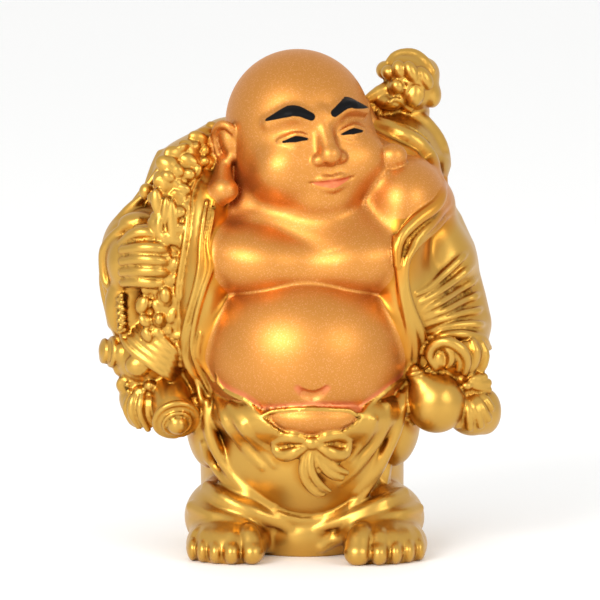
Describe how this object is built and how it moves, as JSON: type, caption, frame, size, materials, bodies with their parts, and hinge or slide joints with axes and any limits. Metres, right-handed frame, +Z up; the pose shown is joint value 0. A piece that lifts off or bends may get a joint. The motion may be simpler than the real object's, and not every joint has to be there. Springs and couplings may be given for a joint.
{
  "type": "budai figure",
  "caption": "Small standing figure of a stout monk with a bare belly, open robe, sack, gourd, pouch and garland, cast in one piece with a flat underside.",
  "frame": {"origin": "on the flat underside, below the middle of the body", "axes": "+Z up along the figure's height, -Y the way the belly and feet point, +X towards the figure's left hand"},
  "size_m": [0.0402, 0.0329, 0.0497],
  "materials": {
    "gold_paint_on_resin": "metallic gold paint, satin on the skin and glossy on the cloth"
  },
  "bodies": {
    "root": {"budai_figure": "gold_paint_on_resin"}
  },
  "joints": []
}
